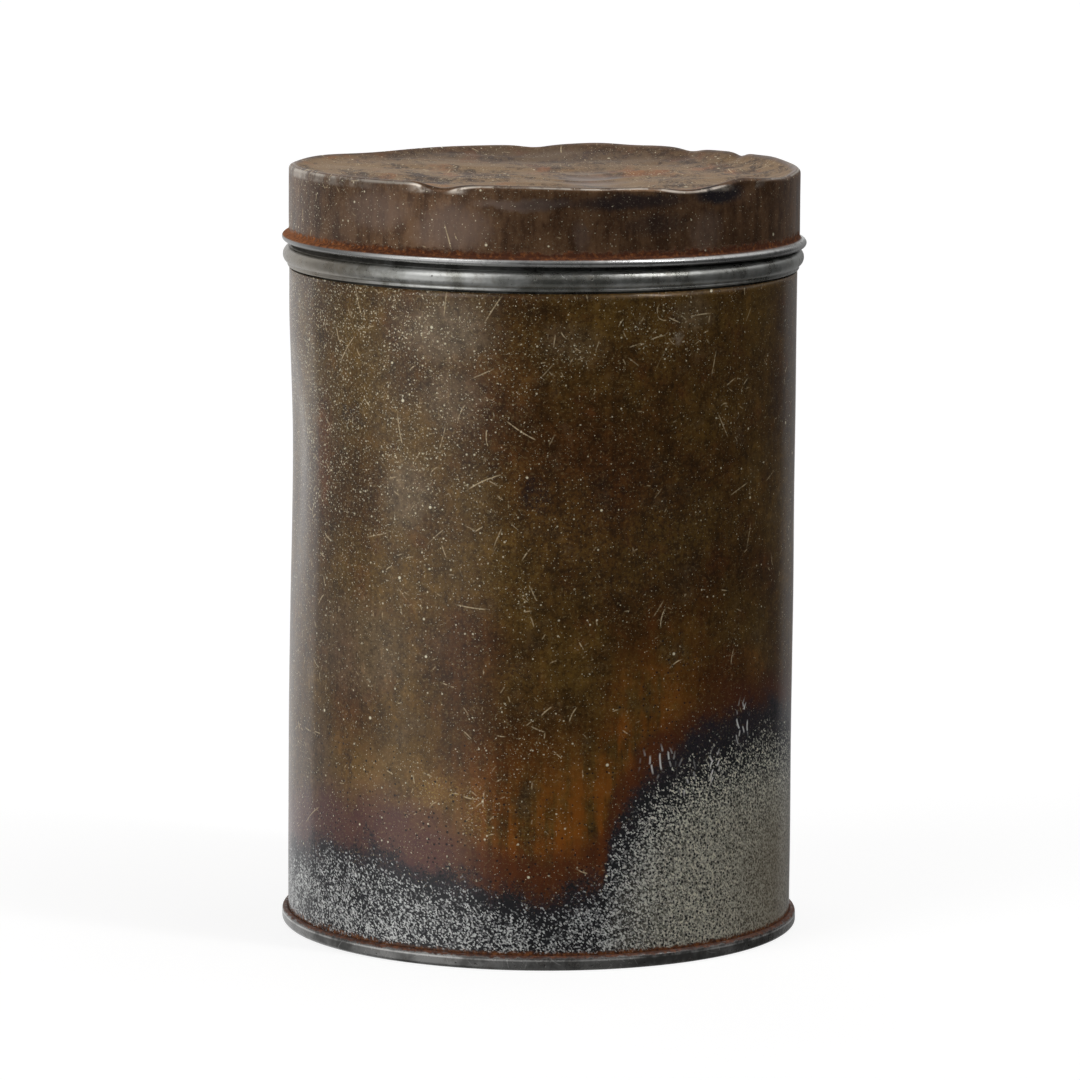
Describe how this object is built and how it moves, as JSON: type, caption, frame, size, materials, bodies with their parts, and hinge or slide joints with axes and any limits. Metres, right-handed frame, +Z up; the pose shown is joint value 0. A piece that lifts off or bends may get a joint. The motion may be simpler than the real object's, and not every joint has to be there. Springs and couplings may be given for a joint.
{
  "type": "shoe polish tin",
  "caption": "Tall round slip-lid tin for shoe polish: rolled body, pressed base, neck ring with stop bead, lift-off lid and a cake of polish inside.",
  "frame": {"origin": "middle of the ring that the tin stands on, at the bottom of the base rim", "axes": "+Z up along the tin's own axis; the side seam is at +Y, so -Y is the front"},
  "size_m": [0.1036, 0.1036, 0.1513],
  "materials": {
    "body_tin": "aged brown lacquer on tinplate, scratched, burnt away to grey crystalline tin near the foot",
    "solder": "dull grey tin-lead solder",
    "base_tin": "worn grey tinplate with rust in the rim's notch",
    "neck_tin": "bare grey tinplate, worn bright on the bead",
    "lid_tin": "aged red-brown lacquer on tinplate, buckled, rust above the curl",
    "polish": "dark brown wax polish, cracked and dried at the edge"
  },
  "bodies": {
    "can": {"body_wall": "body_tin", "side_seam_solder": "solder", "base_end": "base_tin", "neck_ring": "neck_tin", "polish_cake": "polish"},
    "lid": {"lid_shell": "lid_tin"}
  },
  "joints": [
    {"name": "lid_lift", "type": "slide", "parent": "can", "child": "lid", "axis": [0, 0, 1], "range_m": [0, 0.12]}
  ]
}
